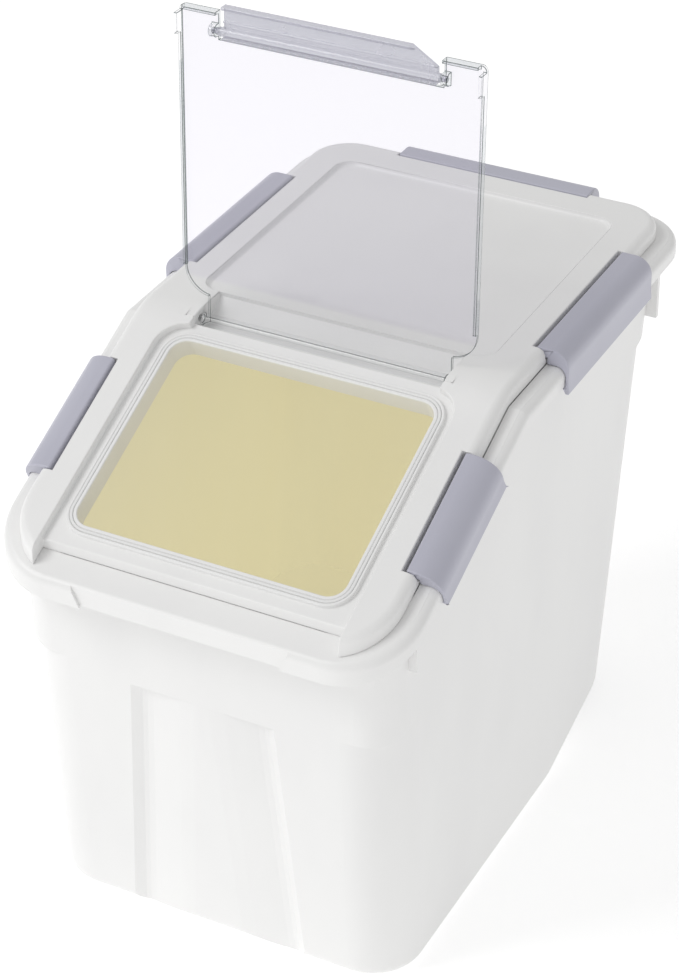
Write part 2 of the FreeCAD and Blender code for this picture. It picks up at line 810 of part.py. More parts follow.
def hinge_ears():
    """Two blocks beside the trough that hold the flap's pivots."""
    ears = []
    for side in (-1, 1):
        ear = document.addObject("Part::Box", f"hinge_ear_{'right' if side > 0 else 'left'}")
        ear.Length = 4
        ear.Width = 12
        ear.Height = 9
        inner = size("hinge_half_width") + 1.4
        left = inner if side > 0 else -inner - 4
        ear.Placement = Placement(Vector(left, HINGE_POINT.y - 6, HINGE_POINT.z - 6), Rotation())
        ears.append(ear)
    return ears


def hinge_sockets():
    """The bore in both ears for the flap's pivots."""
    bore = document.addObject("Part::Cylinder", "hinge_bore")
    bore.setExpression("Radius", f"2 + {cell('running_gap')}")
    bore.setExpression("Height", f"2 * ({cell('hinge_half_width')} + 1.4 + {SOCKET_DEPTH})")
    reach = size("hinge_half_width") + 1.4 + SOCKET_DEPTH
    bore.Placement = Placement(Vector(-reach, HINGE_POINT.y, HINGE_POINT.z),
                               Rotation(Vector(0, 1, 0), 90))
    return bore


def lid_gasket():
    """The soft ring that the lid presses on the bin's shelf."""
    rings = []
    for tag, grow in (("out", "5.6"), ("in", "0.9")):
        rings.append(block(f"gasket_{tag}", f"{cell('mouth_half_width')} + {grow}",
                           f"{cell('mouth_front')} - {grow}", f"{cell('mouth_rear')} + {grow}",
                           "150", "320", f"{cell('mouth_corner')} + {grow}"))
    flat = cut("gasket_ring", rings[0], rings[1])
    return common("lid_gasket", flat,
                  between("gasket_strip", cell("lid_drop"), f"{cell('shelf_drop')} - 0.1"))


def flap_gasket():
    """The seal in the collar's groove, a little proud of the lips."""
    return ring("flap_gasket", "2.1", "3.7", f"-{cell('pocket_depth')} + 0.02",
                f"-{cell('collar_drop')} + 0.1")


# ---------------------------------------------------------------- latches

SKIN_OUTER = 19.5


def latch(name, length, placement):
    """A latch: a pivot in the lid's notch, a curved cover and a hook under the bin's rim."""
    shoulder, tip = (13.0, 2.4) if "front" in name else (9.5, 4.6)
    body = new_body(name)
    inner = f"{cell('rim_half_width')} - {cell('slot_half_width')} + 0.3"
    over_ledge = f"-{cell('ledge_drop')} + 0.3"
    pad(body, "front", "cover", [
        ("1.9", "0"), ("1.9", f"-{cell('pivot_drop')} - 2.4"), ("7.6", f"-{cell('pivot_drop')} - 2.4"),
        ("7.6", over_ledge), (inner, over_ledge),
        (inner, f"-{cell('rim_drop')} - 0.8"), (f"{inner} - 1.5", f"-{cell('rim_drop')} - 0.9"),
        (f"{inner} - 1.5", f"-{cell('rim_drop')} - 1.6"),
        (f"{inner} + 0.3", f"-{cell('rim_drop')} - {tip}"),
        (f"{inner} + 2.3", f"-{cell('rim_drop')} - {tip}"),
        (str(SKIN_OUTER), f"-{cell('rim_drop')} + 2.5"), (str(SKIN_OUTER), "0")],
        f"{length} - 2 * {cell('end_gap')}")

    def at(x, z):
        return lambda edge: (runs_along("y")(edge) and close(middle(edge).x, x, 0.05)
                             and close(middle(edge).z, z, 0.05))

    round_body(body, "shoulder", str(shoulder), at(SKIN_OUTER, 0))
    round_body(body, "over_rim", "5.3", at(number(inner), number(over_ledge)))
    round_body(body, "pivot_round", "2.38", at(1.9, -size("pivot_drop") - 2.4))
    round_body(body, "top_round", "1.4", at(1.9, 0))
    round_body(body, "tip_round", "0.8",
               at(number(inner) + 2.3, -size("rim_drop") - tip))
    pad_circle(body, "front", "pins", (cell("pivot_inset"), f"-{cell('pivot_drop')}"),
               cell("pin_radius"), f"{length} + 2 * ({cell('pin_length')} - 0.3)")
    body.Placement = placement
    document.recompute()
    return body


# ---------------------------------------------------------------- flap and its latch

def flap():
    """The clear flap, drawn closed on the slope and turned open about its hinge."""
    body = new_body("flap")
    top = f"-{cell('flap_drop')}"
    under = f"-{cell('flap_drop')} - {cell('flap_thickness')}"
    half = cell("flap_half_width")
    end = cell("flap_end")
    plate = pad(body, "top", "plate", [
        (f"-{half}", f"-{end}"), (half, f"-{end}"), (half, "-8"), (f"-{half}", "-8")],
        cell("flap_thickness"), middle=False)
    plate.Profile[0].AttachmentOffset = Placement(Vector(0, 0, number(under)), Rotation())
    document.recompute()
    round_body(body, "hinge_corners", "15",
               lambda edge: along_z(edge) and close(middle(edge).y, -8, 0.1))
    round_body(body, "free_corners", "3",
               lambda edge: along_z(edge) and close(middle(edge).y, -number(end), 0.1))
    neck = pad(body, "side", "neck", [
        (f"-({cell('hinge_start')}) + 5", top), (f"-({cell('hinge_start')}) + 3.2", top),
        ("-9", top), ("-9", under), (f"-({cell('hinge_start')}) + 1.6", under),
        (f"-({cell('hinge_start')}) - 1", f"-{cell('hinge_drop')}"),
        (f"-({cell('hinge_start')}) + 3.1", f"-{cell('hinge_drop')}"),
        (f"-({cell('hinge_start')}) + 4", "-3.4")], f"2 * {cell('hinge_half_width')}")
    pad_circle(body, "side", "barrel", (f"-({cell('hinge_start')})", f"-{cell('hinge_drop')}"),
               cell("hinge_radius"), f"2 * {cell('hinge_half_width')}")
    pad_circle(body, "side", "pivots", (f"-({cell('hinge_start')})", f"-{cell('hinge_drop')}"),
               "2", f"2 * ({cell('hinge_half_width')} + 1.4 + {SOCKET_DEPTH} - 0.3)")
    skirts(body, half, end, under)
    catch_mount(body, end, under)
    body.Placement = flap_opening().multiply(SLOPE)
    document.recompute()
    assert neck.Shape.isValid()
    return body


SKIRT_THICKNESS = 1.6


def skirts(body, half, end, under):
    """Edges turned down on both sides, deeper at the free end, and along the free edge."""
    depths = [("-24", f"-{cell('pocket_depth')} + 0.2", "side_skirt"),
              (f"-{end} + 14", "-7.6", "corner_skirt")]
    for start, low, name in depths:
        pad(body, "side", name, [(start, under), (f"-{end} + 3", under), (f"-{end} + 3", low),
                                 (start, low)], f"2 * ({half})")
        inner = f"2 * ({half} - {SKIRT_THICKNESS})"
        pocket(body, "side", f"{name}_inside", [
            (f"{start} + 1", under), (f"-{end} - 1", under), (f"-{end} - 1", f"{low} - 1"),
            (f"{start} + 1", f"{low} - 1")], inner)
    pad(body, "side", "free_lip", [(f"-{end}", under), (f"-{end}", "-5.2"), (f"-{end} + 1.6", "-5.2"),
                                   (f"-{end} + 1.6", under)], f"2 * ({half} - 3)")


BOSS_RADIUS = 3.3
BOSS_WALL = 3.5
BORE_DEPTH = 2.6
NOTCH_REACH = 5


def catch_mount(body, end, under):
    """The notch in the free edge, and two bosses that hold the flap latch's pins."""
    middle = f"-({cell('catch_start')})"
    drop = f"-{cell('catch_drop')}"
    boss_length = f"2 * ({cell('catch_pocket')} + {BOSS_WALL})"
    pad_circle(body, "side", "catch_bosses", (middle, drop), str(BOSS_RADIUS), boss_length)
    pad(body, "side", "boss_webs", [
        (f"{middle} + {BOSS_RADIUS}", under), (f"{middle} + {BOSS_RADIUS}", drop),
        (f"{middle} - {BOSS_RADIUS}", drop), (f"{middle} - {BOSS_RADIUS}", under)], boss_length)
    pocket(body, "side", "catch_notch", [
        (f"{middle} + {NOTCH_REACH}", "2"), (f"-{end} - 2", "2"), (f"-{end} - 2", "-9"),
        (f"{middle} + {NOTCH_REACH}", "-9")], f"2 * {cell('catch_pocket')}")
    sketch = body_sketch(body, "side", "catch_bore_sketch")
    draw_circle(sketch, middle, drop, f"{cell('pin_radius')} + {cell('running_gap')}")
    bore = body.newObject("PartDesign::Pocket", "catch_bore")
    bore.Profile = sketch
    bore.setExpression("Length", f"2 * ({cell('catch_pocket')} + {BORE_DEPTH})")
    bore.Midplane = True
    document.recompute()


def flap_latch():
    """The strip on the flap's free edge: a web with a hooked edge, turning on two pins."""
    body = new_body("flap_latch")
    pivot = cell("catch_start")
    pad(body, "side", "hooked_strip", [
        (f"-({pivot}) + 4", "-0.6"), (f"-({pivot}) + 4", "-5.2"), (f"-({pivot}) + 2.6", "-5.2"),
        (f"-({pivot}) + 2.6", "-2.4"), (f"-({pivot}) - 4.4", "-2.4"), (f"-({pivot}) - 4.4", "-3.4"),
        (f"-({pivot}) - 5.6", "-3.4"), (f"-({pivot}) - 5.6", "-2.4"),
        (f"-({pivot}) - 11.6", "-2.4"), (f"-({pivot}) - 11.6", "-5.6"),
        (f"-({pivot}) - 13.2", "-5.6"), (f"-({pivot}) - 13.2", "-0.6")],
        f"2 * {cell('catch_half_width')}")
    pad_circle(body, "side", "pins", (f"-({pivot})", f"-{cell('catch_drop')}"),
               cell("pin_radius"), f"2 * ({cell('catch_pocket')} + 2.3)")
    pad_circle(body, "side", "pin_collars", (f"-({pivot})", f"-{cell('catch_drop')}"),
               "2.3", f"2 * ({cell('catch_pocket')} - 1)")
    right = cell("catch_half_width")
    sketch = body_sketch(body, "top", "taper_sketch")
    draw_outline(sketch, [(f"{right} - 15", f"-({pivot}) - 14"), (f"{right} + 1", f"-({pivot}) - 14"),
                          (f"{right} + 1", f"-({pivot}) - 4.6"), (right, f"-({pivot}) - 4.6")])
    taper = body.newObject("PartDesign::Pocket", "taper")
    taper.Profile = sketch
    taper.Length = 30
    taper.Midplane = True
    document.recompute()
    body.Placement = flap_opening().multiply(SLOPE)
    document.recompute()
    return body


# ---------------------------------------------------------------- wheels and axle

def turned(name, points, placement):
    """A turned piece: a half section turned about its own X axis."""
    body = new_body(name)
    sketch = body_sketch(body, "front", "section")
    draw_outline(sketch, points)
    feature = body.newObject("PartDesign::Revolution", "turning")
    feature.Profile = sketch
    axis = next(item for item in body.Origin.OriginFeatures if item.Role == "X_Axis")
    feature.ReferenceAxis = (axis, [""])
    feature.Angle = 360
    document.recompute()
    body.Placement = placement
    document.recompute()
    return body


def axle_place(across):
    return Placement(Vector(across, size("axle_back"), size("wheel_radius")), Rotation())


def wheel(name, side):
    half = f"({cell('wheel_width')} / 2)"
    hub = f"{cell('axle_radius')} + {cell('running_gap')}"
    radius = cell("wheel_radius")
    return turned(name, [
        (f"-{half}", hub), (half, hub), (half, "6"), (f"{half} - 2", "6.5"), (f"{half} - 2", "10"),
        (f"{half} - 0.6", "10.6"), (f"{half} - 0.6", f"{radius} - 1"), (f"{half} - 1.6", radius),
        (f"-{half} + 1.6", radius), (f"-{half} + 0.6", f"{radius} - 1"), (f"-{half} + 0.6", "10.6"),
        (f"-{half} + 2", "10"), (f"-{half} + 2", "6.5"), (f"-{half}", "6")],
        axle_place(side * size("wheel_centre")))


def axle():
    rod = document.addObject("Part::Cylinder", "rear_axle")
    rod.setExpression("Radius", cell("axle_radius"))
    rod.setExpression("Height", f"2 * {cell('axle_half_length')}")
    rod.Placement = Placement(Vector(-size("axle_half_length"), size("axle_back"),
                                     size("wheel_radius")), Rotation(Vector(0, 1, 0), 90))
    return round_edges("axle_chamfer", rod, "0.6", lambda edge: isinstance(edge.Curve, Part.Circle))


def axle_cap(name, side):
    across = side * (HOLDER_PLACES[1] + HOLDER_THICKNESS / 2 + 1.6)
    return turned(name, [("-1.4", f"{cell('axle_radius')} + 0.01"),
                         ("1.4", f"{cell('axle_radius')} + 0.01"), ("1.4", "4.2"), ("0.6", "5.6"),
                         ("-1.4", "5.6")], axle_place(across))


# ---------------------------------------------------------------- build and write

def label_as(feature, label):
    feature.Label = label
    return feature


def check_document():
    for item in document.Objects:
        assert "Invalid" not in item.State and "Error" not in item.State, f"{item.Name}: {item.State}"


def write(nodes):
    os.makedirs("parts", exist_ok=True)
    for label, feature in nodes.items():
        shape = feature.Shape
        assert not shape.isNull() and shape.isValid(), f"{label} is not a valid shape"
        box = shape.BoundBox
        print(f"{label:20s} solids {len(shape.Solids)} volume {shape.Volume / 1000:8.2f} cm3",
              f"x {box.XMin:.1f} {box.XMax:.1f} y {box.YMin:.1f} {box.YMax:.1f}",
              f"z {box.ZMin:.1f} {box.ZMax:.1f}")
        assert len(shape.Solids) == 1, f"{label} is not one solid"
        shape.exportStep(f"parts/{label}.step")


def main():
    fill_sheet()
    nodes = {"bin_body": bin_body(), "lid": lid(), "lid_gasket": lid_gasket(),
             "flap_gasket": flap_gasket(), "flap": flap(), "flap_latch": flap_latch()}
    for name, (length, place) in latch_places().items():
        nodes[name] = latch(name, length, place)
    nodes["rear_axle"] = axle()
    for side, word in ((1, "right"), (-1, "left")):
        nodes[f"wheel_{word}"] = wheel(f"wheel_{word}", side)
        nodes[f"axle_cap_{word}"] = axle_cap(f"axle_cap_{word}", side)
    document.recompute()
    for label, feature in nodes.items():
        label_as(feature, label)
    check_document()
    write(nodes)


main()
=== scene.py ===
# %% [markdown]
# # A bin for dry pet food
# The object is a tapered tub of white plastic on two small rear wheels. Its lid is held by five
# grey-blue latches, and the front of the lid slopes down and carries a clear flap over a scoop
# opening. The solid parts come from the CAD model, which is loaded first and never moved.

# %% Open the imported model
import json
import math

import bmesh
import bpy
from mathutils import Matrix, Vector
from mathutils.bvhtree import BVHTree

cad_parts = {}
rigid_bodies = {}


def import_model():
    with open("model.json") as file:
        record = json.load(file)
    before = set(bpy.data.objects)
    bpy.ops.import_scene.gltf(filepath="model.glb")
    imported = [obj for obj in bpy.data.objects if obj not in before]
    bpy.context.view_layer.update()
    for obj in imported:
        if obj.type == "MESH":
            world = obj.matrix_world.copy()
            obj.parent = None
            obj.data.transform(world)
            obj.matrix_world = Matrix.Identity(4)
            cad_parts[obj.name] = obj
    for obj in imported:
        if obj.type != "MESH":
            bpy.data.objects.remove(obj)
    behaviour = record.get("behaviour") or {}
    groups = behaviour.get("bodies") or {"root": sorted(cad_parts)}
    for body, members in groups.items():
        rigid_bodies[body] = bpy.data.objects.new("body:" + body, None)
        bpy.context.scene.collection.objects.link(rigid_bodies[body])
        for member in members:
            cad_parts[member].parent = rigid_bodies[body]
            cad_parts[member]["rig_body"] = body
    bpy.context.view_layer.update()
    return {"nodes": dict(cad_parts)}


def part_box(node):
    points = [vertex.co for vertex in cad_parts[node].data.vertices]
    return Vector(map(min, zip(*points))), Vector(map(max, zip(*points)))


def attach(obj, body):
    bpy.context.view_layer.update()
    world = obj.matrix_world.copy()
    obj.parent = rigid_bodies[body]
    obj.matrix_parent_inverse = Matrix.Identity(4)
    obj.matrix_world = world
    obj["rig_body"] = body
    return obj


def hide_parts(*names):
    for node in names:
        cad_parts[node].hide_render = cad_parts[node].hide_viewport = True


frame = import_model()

MM = 0.001
scene = bpy.context.scene

# %% [markdown]
# ## The camera
# The bin is seen from its front right and from well above, so that the scoop opening, both rims and
# the right wall show together. A long lens keeps the upright walls nearly parallel. A camera can be
# aimed with a constraint, but a position and three angles say the same thing plainly: how far round
# the bin it stands, how far it looks down, and how far it is tipped.

# %% Set up the camera
CAMERA_PLACE = Vector((0.5685, -1.0939, 0.9958))
CAMERA_ROUND, CAMERA_DOWN, CAMERA_TIP = 27.24, 32.32, -0.34
LENS_MM = 104.71
SHIFT_SIDE, SHIFT_UP = -0.0236, -0.0559


def aim(camera, place, around, down, tip):
    """Stands the camera at a place, turned round the bin, looking down and tipped, in degrees."""
    turn = Matrix.Rotation(math.radians(around), 4, "Z")
    look = Matrix.Rotation(math.radians(90.0 - down), 4, "X")
    roll = Matrix.Rotation(math.radians(tip), 4, "Z")
    camera.matrix_world = Matrix.Translation(place) @ turn @ look @ roll


lens = bpy.data.cameras.new("studio_camera")
lens.lens = LENS_MM
lens.sensor_width = 36.0
lens.shift_x, lens.shift_y = SHIFT_SIDE, SHIFT_UP
lens.clip_start, lens.clip_end = 0.05, 50.0
camera = bpy.data.objects.new("studio_camera", lens)
scene.collection.objects.link(camera)
aim(camera, CAMERA_PLACE, CAMERA_ROUND, CAMERA_DOWN, CAMERA_TIP)
scene.camera = camera
print("camera stands", round(camera.location.length, 3), "m from the middle of the floor")

# %% [markdown]
# ## Shader sums as plain Python
# A finish is a small network of nodes. Written out link by link it is hard to read, so one class
# holds a socket and lets it be added, multiplied and compared like a number. A second class holds
# one material and makes every other node through a single method: its settings go in first, and
# then the numbers or links of its sockets.

# %% Two helpers for finishes


class Reading:
    """A number that changes over a surface. Arithmetic on it adds Math nodes."""

    def __init__(self, finish, socket):
        self.finish = finish
        self.socket = socket

    def sum(self, operation, *numbers):
        return self.finish.node("ShaderNodeMath", {"operation": operation},
                                dict(enumerate(numbers)))

    def __add__(self, other):
        return self.sum("ADD", self, other)

    def __mul__(self, other):
        return self.sum("MULTIPLY", self, other)

    def __pow__(self, other):
        return self.sum("POWER", self, other)

    __radd__ = __add__
    __rmul__ = __mul__

    def between(self, low, high):
        """0 below low, 1 above high, and a smooth change from one to the other."""
        return self.finish.node("ShaderNodeMapRange", {"interpolation_type": "SMOOTHSTEP"},
                                {"Value": self, "From Min": low, "From Max": high})


class Finish:
    """One material, and the few ways its nodes are made."""

    def __init__(self, name, **sockets):
        self.material = bpy.data.materials.new(name)
        self.material.use_nodes = True
        self.tree = self.material.node_tree
        self.shader = self.tree.nodes["Principled BSDF"]
        for socket, number in sockets.items():
            self.shader.inputs[socket.replace("_", " ")].default_value = number

    def plug(self, socket, value):
        """Links a reading to a socket, or sets the socket's own number."""
        if isinstance(value, Reading):
            self.tree.links.new(value.socket, socket)
        else:
            socket.default_value = value

    def node(self, kind, settings=None, sockets=None, output=0):
        made = self.tree.nodes.new(kind)
        for name, value in (settings or {}).items():
            setattr(made, name, value)
        for key, value in (sockets or {}).items():
            self.plug(made.inputs[key], value)
        return Reading(self, made.outputs[output])

    def feed(self, **sockets):
        """Links readings to the sockets of the shader."""
        for socket, value in sockets.items():
            self.plug(self.shader.inputs[socket.replace("_", " ")], value)

    def place(self):
        """Where a point lies on the piece, in metres."""
        return self.node("ShaderNodeTexCoord", output="Object")

    def noise(self, size, detail=2.0, seed=0.0, stretch=(1.0, 1.0, 1.0)):
        """Soft random lumps about size metres across, from 0 to 1."""
        spread = self.node("ShaderNodeMapping", None,
                           {"Vector": self.place(), "Location": (seed,) * 3, "Scale": stretch})
        return self.node("ShaderNodeTexNoise", None,
                         {"Vector": spread, "Scale": 1.0 / size, "Detail": detail})

    def blend(self, share, first, second):
        """A colour between two colours."""
        return self.node("ShaderNodeMix", {"data_type": "RGBA"},
                         {0: share, 6: first, 7: second}, output=2)

    def relief(self, height, depth):
        """A bump whose full height is depth metres."""
        return self.node("ShaderNodeBump", None,
                         {"Height": height, "Distance": depth, "Strength": 1.0})


print("a noise of 2 mm lumps has a scale of", round(1.0 / (2 * MM)))

# %% [markdown]
# ## White moulded shell
# The tub and lid are injection moulded in white polypropylene: satin rather than glossy, because
# the steel mould is finely eroded, and very slightly uneven in shade where the melt flowed. The
# grain is under half a millimetre across, so it is a shallow bump that only softens highlights. A
# glossy outer coat would look like paint, so the shine comes from the plastic's own roughness.


# %% Mix the white plastic and the painted glow of the inside
PLASTIC_IOR = 1.49
FLOW_SIZE, RUB_SIZE, GRAIN_SIZE, GRAIN_DEPTH = 60 * MM, 9 * MM, 0.35 * MM, 0.006 * MM
INSIDE_GLOW = 0.165


def moulded(name, pale, deep, roughness, grain=GRAIN_SIZE, depth=GRAIN_DEPTH, glow=0.0):
    """Satin moulded plastic with eroded grain and a faint flow of shade."""
    # Glow makes the pale colour give off light of its own, which is painted light.
    finish = Finish(name, IOR=PLASTIC_IOR, Emission_Color=pale, Emission_Strength=glow)
    flow = finish.noise(FLOW_SIZE, detail=3.0, seed=3.1, stretch=(1.0, 1.0, 0.45))
    rub = finish.noise(RUB_SIZE, detail=4.0, seed=7.7)
    skin = finish.noise(grain, detail=1.0, seed=1.3)
    finish.feed(Base_Color=finish.blend(flow.between(0.35, 0.68), pale, deep),
                Roughness=roughness - 0.03 + 0.05 * rub + 0.02 * skin,
                Normal=finish.relief(skin, depth))
    return finish.material


WHITE = moulded("white_polypropylene", (0.895, 0.893, 0.885, 1), (0.872, 0.87, 0.864, 1), 0.34)
# The inside of the tub is the same white plastic. Its cream colour and its glow are painted light
# for the light that comes through the walls and bounces inside.
PAINTED_INNER_GLOW = moulded("painted_inner_glow", (0.90, 0.869, 0.707, 1), (0.885, 0.85, 0.685, 1), 0.40,
                glow=INSIDE_GLOW)
print("shell finishes:", WHITE.name, PAINTED_INNER_GLOW.name)

# %% [markdown]
# ## Grey-blue latches, seals and wheels
# The latches are the same kind of plastic, coloured grey-blue and a little shinier. The two seals
# are soft white silicone, dull and smooth. The wheels are a darker, rougher plastic with a deeper
# grain.

# %% Mix the coloured plastics
LATCH_GREY = moulded("grey_blue_plastic", (0.52, 0.52, 0.60, 1), (0.50, 0.50, 0.58, 1), 0.30)
SEAL = moulded("white_silicone", (0.86, 0.86, 0.85, 1), (0.84, 0.84, 0.835, 1), 0.48,
               grain=0.8 * MM)
WHEEL = moulded("dark_wheel_plastic", (0.10, 0.105, 0.12, 1), (0.085, 0.09, 0.10, 1), 0.5,
                depth=2 * GRAIN_DEPTH)
print("small plastics:", LATCH_GREY.name, SEAL.name, WHEEL.name)

# %% [markdown]
# ## Steel axle and its caps
# The rod is drawn through a die, which leaves fine lines along it, and the caps are pressed from
# sheet. Metal has no colour under its shine, so Metallic is full and the lines are noise that is
# stretched far along the rod.


# %% Mix the steels
STEEL_LINE = 0.25 * MM


def steel(name, tone, roughness, stretch):
    """Steel with fine lines. Stretch is how close the lines lie in each direction."""
    finish = Finish(name, Metallic=1.0)
    lines = finish.noise(STEEL_LINE, detail=2.0, seed=5.0, stretch=stretch)
    finish.feed(Base_Color=finish.blend(lines, tone, tuple(0.85 * part for part in tone[:3]) + (1,)),
                Roughness=roughness + 0.12 * lines,
                Normal=finish.relief(lines, 0.004 * MM))
    return finish.material


ROD_STEEL = steel("drawn_steel", (0.62, 0.62, 0.63, 1), 0.24, (0.02, 1.0, 1.0))
CAP_STEEL = steel("pressed_steel", (0.58, 0.58, 0.6, 1), 0.32, (1.0, 1.0, 1.0))
print("steels:", ROD_STEEL.name, CAP_STEEL.name)

# %% [markdown]
# ## Clear plastic
# The flap is a clear sheet about two millimetres thick with a faint violet tint. Full refraction
# through such a thin sheet hardly bends what lies behind it and makes dark, slow shadows, so the
# sheet lets light straight through, tinted a little, and adds a reflection that grows as the surface
# turns away. The reflection is the same seen from outside and from inside the sheet, where a Fresnel
# node would mirror everything, because no ray is bent on its way in. The small rounds along its
# edges bend light from elsewhere and look like fine dark lines; as no ray is bent here, those lines
# are painted shade in a finish of their own, and the outline faces get a darker finish with painted
# shade too.


# %% Mix the clear plastics
HEAD_ON_MIRROR = 0.04


def clear(name, tint, shine, body, body_tone=(0.5, 0.5, 0.55, 1)):
    """Thin clear plastic. Body is the share that scatters light as a cloudy tint."""
    finish = Finish(name, Base_Color=body_tone, Roughness=0.2, IOR=PLASTIC_IOR)
    wipe = finish.noise(14 * MM, detail=3.0, seed=2.2)
    gloss = finish.node("ShaderNodeBsdfGlossy", None,
                        {"Color": (1, 1, 1, 1), "Roughness": 0.05})
    through = finish.node("ShaderNodeBsdfTransparent", None, {"Color": tint})
    facing = finish.node("ShaderNodeLayerWeight", None, {"Blend": 0.5}, output="Facing")
    mirror = HEAD_ON_MIRROR + (1 - HEAD_ON_MIRROR) * facing ** 5
    sheet = finish.node("ShaderNodeMixShader", None, {0: mirror * shine, 1: through, 2: gloss})
    cloud = Reading(finish, finish.shader.outputs[0])
    whole = finish.node("ShaderNodeMixShader", None,
                        {0: body * (0.9 + 0.2 * wipe), 1: sheet, 2: cloud})
    finish.tree.links.new(whole.socket, finish.tree.nodes["Material Output"].inputs["Surface"])
    return finish.material


CLEAR = clear("clear_sheet", (0.945, 0.94, 0.962, 1), 0.9, body=0.02)
# The outline finish is darker and greener than the sheet: partly the tint over the long path along
# the sheet, partly painted shade for the light that the bent edge sends elsewhere.
CLEAR_EDGE_PAINTED_SHADE = clear("clear_sheet_edge_painted_shade", (0.86, 0.88, 0.88, 1), 1.0,
                   body=0.12, body_tone=(0.6, 0.64, 0.64, 1))
# The rounded strips along the edges get painted shade: a dark tint and a dark cloud for the light
# that the small rounds bend away.
CLEAR_PAINTED_DARK_LINE = clear("clear_painted_dark_line", (0.30, 0.34, 0.34, 1), 1.0,
                   body=0.45, body_tone=(0.12, 0.14, 0.14, 1))
# The folds and the neck get a lighter copy of the clear finish, which is painted light: less tint
# and a pale cloud, so the stacked walls don't add up to a dark patch.
CLEAR_FOLDS_PAINTED_LIGHT = clear("clear_folds_painted_light", (0.985, 0.985, 0.988, 1), 0.5,
                   body=0.05, body_tone=(0.85, 0.86, 0.86, 1))
CLEAR_GREY = clear("clear_grey_strip", (0.84, 0.84, 0.875, 1), 1.0,
                   body=0.32, body_tone=(0.60, 0.60, 0.66, 1))
CLEAR_KINDS = (CLEAR, CLEAR_EDGE_PAINTED_SHADE, CLEAR_PAINTED_DARK_LINE, CLEAR_FOLDS_PAINTED_LIGHT, CLEAR_GREY)
print("clear plastics:", [kind.name for kind in CLEAR_KINDS])

# %% [markdown]
# ## Softened edges
# No moulded edge is perfectly sharp, and the small round on it is what catches a line of light. The
# CAD pieces have sharp edges, so a copy stands in for the lid, the seals, the latches and the flap,
# and a bevel modifier rounds what is sharp. It has no overlap limit, so at a few sharp ends its
# points stand up to two millimetres proud. Merging the triangles of a flat face first would be
# tidier, but a merged face with a hollow outline can fill wrongly, so they stay. The copy rides on
# the same body. The tub has a copy too, but keeps the edges and the shading of the CAD model.


# %% A copy with broken edges
WELD = 0.002 * MM
SHARP_DEGREES = 28.0


def stand_in(node, mesh, finishes):
    """A piece with this mesh that rides on the CAD piece's body and stands for it."""
    mesh.materials.clear()
    for finish in finishes:
        mesh.materials.append(finish)
    piece = bpy.data.objects.new(f"{node}_moulded", mesh)
    scene.collection.objects.link(piece)
    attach(piece, frame["nodes"][node]["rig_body"])
    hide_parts(node)
    return piece


def softened(node, edge, finishes, rings=2, edge_slot=-1, cuts=()):
    """A stand-in whose sharp edges are rounded. Edge slot is the finish of the rounded strips, and
    cuts are heights at which faces are divided, so that each side can have its own finish."""
    source = frame["nodes"][node]
    mesh = source.data.copy()
    if "custom_normal" in mesh.attributes:
        mesh.attributes.remove(mesh.attributes["custom_normal"])
    shape = bmesh.new()
    shape.from_mesh(mesh)
    bmesh.ops.remove_doubles(shape, verts=shape.verts, dist=WELD)
    for height in cuts:
        everything = [*shape.verts, *shape.edges, *shape.faces]
        bmesh.ops.bisect_plane(shape, geom=everything,
                               plane_co=(0, 0, height), plane_no=(0, 0, 1))
    shape.to_mesh(mesh)
    shape.free()
    mesh.shade_smooth()
    mesh.set_sharp_from_angle(angle=math.radians(SHARP_DEGREES))
    piece = stand_in(node, mesh, finishes)
    round_off = piece.modifiers.new("broken_edge", "BEVEL")
    round_off.width = edge
    round_off.segments = rings
    round_off.limit_method = "ANGLE"
    round_off.angle_limit = math.radians(SHARP_DEGREES)
    round_off.use_clamp_overlap = False
    round_off.material = edge_slot
    flatten = piece.modifiers.new("flat_faces_stay_flat", "WEIGHTED_NORMAL")
    flatten.keep_sharp = True
    print(node, "has", len(mesh.polygons), "faces before its edges are rounded")
    return piece


# %% [markdown]
# ## Tub
# The tub is white outside and looks warm cream inside. Polypropylene walls let some light through,
# and it bounces between them until the whole inside glows, so the inner finish is painted light: its
# cream colour and the little light it gives off of its own stand in for that glow. Real scattering
# through the wall would be truer but far slower. The inner faces are those that lie below the ledge
# of the rim and see the middle of the tub with nothing between.


# %% The tub and its inside
RIM_TOP, SLOPE_START, SLOPE = 288 * MM, -36.8 * MM, math.tan(math.radians(24.0))
LEDGE_DEPTH, MIDDLE_LOW, MIDDLE_BACK = 14 * MM, 60 * MM, -20 * MM
OFF_FACE = 0.3 * MM


def depth_in(point):
    """How far a point lies straight below the top of the rim, which slopes down at the front."""
    return RIM_TOP + min(0.0, point.y - SLOPE_START) * SLOPE - point.z


def line_inside(piece, node):
    """Gives the second finish to faces below the ledge that see the middle of the tub."""
    solid = frame["nodes"][node].data
    tree = BVHTree.FromPolygons([v.co for v in solid.vertices],
                                [p.vertices for p in solid.polygons])
    lined = 0
    for face in piece.data.polygons:
        off = face.center + face.normal * OFF_FACE
        sight = Vector((0, MIDDLE_BACK, max(off.z, MIDDLE_LOW))) - off
        if depth_in(off) > LEDGE_DEPTH and tree.ray_cast(off, sight, sight.length)[0] is None:
            face.material_index = 1
            lined += 1
    print(node, "has", lined, "cream faces")


# The inner faces get the painted glow of the inside as their second finish.
tub = stand_in("bin_body", frame["nodes"]["bin_body"].data.copy(), [WHITE, PAINTED_INNER_GLOW])
line_inside(tub, "bin_body")

# %% [markdown]
# ## Lid, seals and latches
# The lid is one moulding with a sunken top panel, a sloping front and a raised collar round the
# scoop opening. Its seals are separate soft rings, and each latch swings on a pin at the edge of the
# lid. All of them get rounded edges; the latches' are a little fuller, as they are handled.

